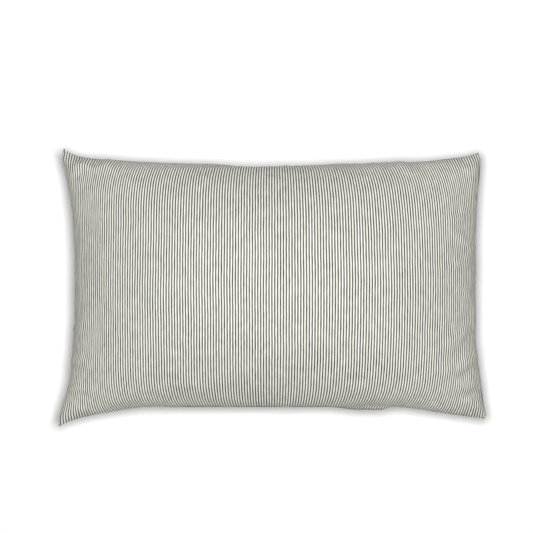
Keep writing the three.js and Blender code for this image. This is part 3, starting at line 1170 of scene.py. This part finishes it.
zipColours = {
    "tapeShade": (0.44, 0.43, 0.38, 1),
    "tape": (0.64, 0.63, 0.57, 1),
    "coilShade": (0.52, 0.51, 0.46, 1),
    "coil": (0.64, 0.63, 0.57, 1),
    "metalShade": (0.44, 0.435, 0.42, 1),
    "metal": (0.63, 0.625, 0.60, 1),
}


def tapeFinish():
    finish = Finish("woven tape")
    x, _, z = finish.axes(finish.place())
    rib = (x * 1250 + (z * 900).wave() * 0.5).wave()
    edge = (z * 1500).wave()
    tint = finish.cloud(finish.place(), 240, 4)
    relief = finish.bump(rib * 0.6 + edge * 0.3 + tint, 0.5, 0.12 * mm)
    colour = finish.mixed((rib * 0.25 + tint).held(), zipColours["tapeShade"], zipColours["tape"])
    roughness = 0.82 + (tint - 0.5) * 0.2
    return finish.shade(Base_Color=colour, Roughness=roughness, Sheen_Weight=0.15, Normal=relief)


def nylonFinish():
    finish = Finish("nylon coil")
    tint = finish.cloud(finish.place(), 300, 3)
    relief = finish.bump(tint, 0.15, 0.05 * mm)
    colour = finish.mixed(tint, zipColours["coilShade"], zipColours["coil"])
    return finish.shade(Base_Color=colour, Roughness=0.30 + tint * 0.22, Normal=relief)


def nickelFinish():
    finish = Finish("brushed nickel")
    brushed = finish.cloud(finish.place(), 1, 4, (260, 5200, 5200))
    wear = finish.cloud(finish.place(), 420, 5)
    relief = finish.bump(brushed + wear * 0.5, 0.25, 0.03 * mm)
    colour = finish.mixed((wear * 1.3 - 0.2).held(), zipColours["metalShade"], zipColours["metal"])
    return finish.shade(Base_Color=colour, Metallic=1.0, Roughness=0.24 + brushed * 0.26, Normal=relief)


tapeMaterial = tapeFinish()
coilMaterial = nylonFinish()
nickelMaterial = nickelFinish()
for sideName, side in (("front", 1), ("back", -1)):
    tape = zipTape("tape_" + sideName, "zip_tape_" + sideName, side)
    handIn(tape, tapeMaterial, "zip_tape", "zip_tape_" + sideName)
    coil = zipCoil("coil_" + sideName, "zip_coil_" + sideName, side)
    handIn(coil, coilMaterial, "zip_coil", "zip_coil_" + sideName)
    placeAt, reach = zipStitchPlace("zip_thread_" + sideName)
    points = lockstitch((-1, 0), (1, 0), zipPart["stitch"] / reach, placeAt)
    stitches = thread("tape_stitching_" + sideName, points, sewing["fineRadius"])
    handIn(stitches, threadMaterial, "thread", "zip_thread_" + sideName)
    stop = softEdged("top_stop_" + sideName, "zip_top_stop_" + sideName)
    handIn(stop, nickelMaterial, "zip_metal", "zip_top_stop_" + sideName)
handIn(softEdged("bottom_stop", "zip_bottom_stop"), nickelMaterial, "zip_metal", "zip_bottom_stop")
handIn(softEdged("slider", "zip_slider"), nickelMaterial, "zip_metal", "zip_slider", body="zip_slider")
pullTab = softEdged("pull_tab", "zip_pull_tab")
handIn(pullTab, nickelMaterial, "zip_metal", "zip_pull_tab", body="zip_pull_tab")


careLabel = {
    "width": 30 * mm,
    "length": 30 * mm,  # folded
    "sewnAt": 5 * mm,  # in from the left seam
    "below": 1.7 * mm,  # the front panel
    "gap": 0.45 * mm,
    "cloth": 0.16 * mm,
    "cells": 20,
    "ease": 1.12,  # the flat cloth that it lies against is a little wider than its place
    "parting": 0.08,  # share of the loop over which its two layers part at the fold
    "ripple": 0.25 * mm,
    "step": 0.01,
}


# a blank satin loop that lies against the inside of the front panel
def blankLabel(name):
    label = careLabel
    middleT = (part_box("care_label")[0].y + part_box("care_label")[1].y) / 2 / halfHeight
    bpy.ops.object.select_all(action="DESELECT")
    cellsAlong = label["cells"] * 2 + 2
    bpy.ops.mesh.primitive_grid_add(x_subdivisions=cellsAlong, y_subdivisions=label["cells"], size=2)
    piece = renamed(bpy.context.object, name)
    for vertex in piece.data.vertices:
        along, across = vertex.co.x, vertex.co.y
        inset = label["sewnAt"] + label["ease"] * label["length"] * (1 - abs(along))
        s = -1 + 2 * inset / coverCut["width"]
        t = middleT + across * label["ease"] * label["width"] / coverCut["height"]
        point = skinAt(s, t, 1)
        step = label["step"]
        rightwards = skinAt(s + step, t, 1) - skinAt(s - step, t, 1)
        downwards = skinAt(s, t - step, 1) - skinAt(s, t + step, 1)
        into = rightwards.cross(downwards).normalized()
        apart = label["gap"] * (1 - math.exp(-((abs(along) / label["parting"]) ** 2)))
        apart = math.copysign(apart, along)
        ripple = label["ripple"] * wobble(inset / mm / 7, across * 2, 5)
        vertex.co = point + into * (label["below"] + apart + ripple)
    wall = piece.modifiers.new("Solidify", "SOLIDIFY")
    wall.thickness = label["cloth"]
    applyAll(piece)
    return smoothShaded(piece)


satin = {
    "light": (0.92, 0.915, 0.89, 1),
    "shade": (0.80, 0.79, 0.76, 1),
}


def satinFinish():
    finish = Finish("satin label")
    floats = finish.cloud(finish.place(), 1, 3, (900, 5200, 900))
    hem = finish.cloud(finish.place(), 90, 3)
    relief = finish.bump(floats, 0.3, 0.05 * mm)
    colour = finish.mixed((hem * 0.8 + floats * 0.3).held(), satin["shade"], satin["light"])
    return finish.shade(
        Base_Color=colour,
        Roughness=0.34 + floats * 0.22,
        Sheen_Weight=0.25,
        Specular_IOR_Level=0.5,
        Normal=relief,
    )


label = handIn(blankLabel("blank_label"), satinFinish(), "label", "care_label")


studio = {
    "floor": (0.92, 0.92, 0.915, 1),
    "floorShade": (0.90, 0.90, 0.895, 1),
    "worldLight": 0.16,
    "keySize": 0.6,
    "keyPower": 38,
    "keyPlace": (0.02, 0.05, 1.8),
    "cameraHeight": 3.2,
    "viewWidth": 0.727,
    "cameraX": -0.0082,
    "cameraY": 0.0275,
    "sensor": 36,
    "floorSize": 8,
    "aim": (0, 0, 0.05),
}


def floorFinish():
    finish = Finish("pale floor")
    grain = finish.cloud(finish.place(), 30, 2)
    return finish.shade(Base_Color=finish.mixed(grain, studio["floorShade"], studio["floor"]), Roughness=0.9)


bpy.ops.object.select_all(action="DESELECT")
bpy.ops.mesh.primitive_plane_add(size=studio["floorSize"], location=(0, 0, 0))
floor = renamed(bpy.context.object, "studio_floor")
floor.data.materials.append(floorFinish())

world = bpy.data.worlds.new("studio")
bpy.context.scene.world = world
world.use_nodes = True
world.node_tree.nodes["Background"].inputs["Color"].default_value = (1, 1, 1, 1)
world.node_tree.nodes["Background"].inputs["Strength"].default_value = studio["worldLight"]

bpy.ops.object.light_add(type="AREA", location=studio["keyPlace"])
key = bpy.context.object
key.data.shape = "DISK"
key.data.size = studio["keySize"]
key.data.energy = studio["keyPower"]
key.rotation_euler = (Vector(studio["aim"]) - key.location).to_track_quat("-Z", "Y").to_euler()

bpy.ops.object.camera_add(location=(studio["cameraX"], studio["cameraY"], studio["cameraHeight"]))
camera = bpy.context.object
camera.data.sensor_width = studio["sensor"]
camera.data.lens = studio["sensor"] * (studio["cameraHeight"] - seamHeight) / studio["viewWidth"]
bpy.context.scene.camera = camera
bpy.context.scene.view_settings.view_transform = "Standard"
